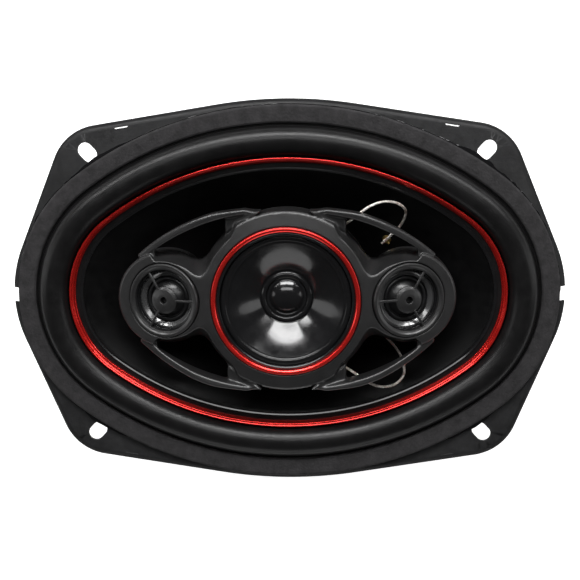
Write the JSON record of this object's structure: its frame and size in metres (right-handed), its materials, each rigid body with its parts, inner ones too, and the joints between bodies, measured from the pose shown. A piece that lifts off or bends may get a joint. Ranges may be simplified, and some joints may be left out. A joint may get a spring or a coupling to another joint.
{
  "type": "car loudspeaker",
  "caption": "Oval coaxial car loudspeaker with a pressed basket, red cone ring and an eye shaped bridge that carries a midrange and two tweeters.",
  "frame": {"origin": "centre of the mounting flange, on the plane of its rear rim", "axes": "+Z out of the front along the speaker axis, +X along the long axis towards the terminals, +Y across"},
  "size_m": [0.2358, 0.1648, 0.107],
  "materials": {
    "black_steel": "satin black paint",
    "gasket_foam": "matt",
    "surround_rubber": "satin, fine leather grain",
    "red_trim": "gloss",
    "cone_poly": "gloss",
    "coil_former": "satin",
    "copper": "satin",
    "spider_cloth": "matt woven",
    "zinc_steel": "zinc plated",
    "ferrite": "matt ground",
    "fibre_board": "satin",
    "brass": "satin",
    "tinned_brass": "satin",
    "tinsel": "braided",
    "bridge_plastic": "fine texture",
    "gloss_black": "gloss",
    "capacitor_sleeve": "gloss",
    "tweeter_ring": "satin",
    "tweeter_film": "gloss film",
    "neodymium": "nickel plated"
  },
  "bodies": {
    "speaker_frame": {"basket_flange": "black_steel", "basket_legs": "black_steel", "basket_pan": "black_steel", "front_gasket": "gasket_foam", "woofer_surround": "surround_rubber", "woofer_spider": "spider_cloth", "basket_rivets": "zinc_steel", "magnet_top_plate": "zinc_steel", "magnet_ring": "ferrite", "pole_yoke": "zinc_steel", "bridge_post": "zinc_steel", "post_washer": "zinc_steel", "post_nut": "zinc_steel", "terminal_board": "fibre_board", "positive_terminal": "brass", "negative_terminal": "tinned_brass", "terminal_rivets": "zinc_steel", "positive_woofer_lead": "tinsel", "negative_woofer_lead": "tinsel", "positive_bridge_lead": "tinsel", "negative_bridge_lead": "tinsel", "bridge_housing": "bridge_plastic", "bridge_rear_cover": "bridge_plastic", "bridge_screws": "zinc_steel", "midrange_trim_ring": "red_trim", "midrange_frame": "gloss_black", "midrange_surround": "gloss_black", "midrange_spider": "spider_cloth", "midrange_top_plate": "zinc_steel", "midrange_magnet": "ferrite", "midrange_yoke": "zinc_steel", "midrange_capacitor": "capacitor_sleeve", "tweeter_capacitor": "capacitor_sleeve", "left_tweeter_guard": "bridge_plastic", "left_tweeter_frame": "gloss_black", "left_tweeter_face_ring": "tweeter_ring", "left_tweeter_surround": "surround_rubber", "left_tweeter_pole_plate": "zinc_steel", "left_tweeter_magnet": "neodymium", "left_tweeter_yoke": "zinc_steel", "right_tweeter_guard": "bridge_plastic", "right_tweeter_frame": "gloss_black", "right_tweeter_face_ring": "tweeter_ring", "right_tweeter_surround": "surround_rubber", "right_tweeter_pole_plate": "zinc_steel", "right_tweeter_magnet": "neodymium", "right_tweeter_yoke": "zinc_steel"},
    "woofer_moving": {"woofer_cone": "cone_poly", "cone_trim_ring": "red_trim", "woofer_coil_former": "coil_former", "woofer_coil_winding": "copper", "cone_lead_eyelets": "brass"},
    "midrange_moving": {"midrange_cone": "gloss_black", "midrange_dust_dome": "gloss_black", "midrange_coil_former": "coil_former", "midrange_coil_winding": "copper"},
    "left_tweeter_moving": {"left_tweeter_dome": "tweeter_film", "left_tweeter_coil": "copper"},
    "right_tweeter_moving": {"right_tweeter_dome": "tweeter_film", "right_tweeter_coil": "copper"}
  },
  "joints": [
    {"name": "woofer_cone_stroke", "type": "slide", "parent": "speaker_frame", "child": "woofer_moving", "axis": [0, 0, 1], "range_m": [-0.004, 0.004], "stiffness_N_per_m": 2200, "deforming": ["woofer_surround", "woofer_spider", "positive_woofer_lead", "negative_woofer_lead", "positive_bridge_lead", "negative_bridge_lead"]},
    {"name": "midrange_cone_stroke", "type": "slide", "parent": "speaker_frame", "child": "midrange_moving", "axis": [0, 0, 1], "range_m": [-0.0008, 0.0008], "stiffness_N_per_m": 1500, "deforming": ["midrange_surround", "midrange_spider"]},
    {"name": "left_tweeter_stroke", "type": "slide", "parent": "speaker_frame", "child": "left_tweeter_moving", "axis": [-0.309, 0, 0.9511], "range_m": [-0.00025, 0.00025], "stiffness_N_per_m": 900, "deforming": ["left_tweeter_surround"]},
    {"name": "right_tweeter_stroke", "type": "slide", "parent": "speaker_frame", "child": "right_tweeter_moving", "axis": [0.309, 0, 0.9511], "range_m": [-0.00025, 0.00025], "stiffness_N_per_m": 900, "deforming": ["right_tweeter_surround"]}
  ]
}
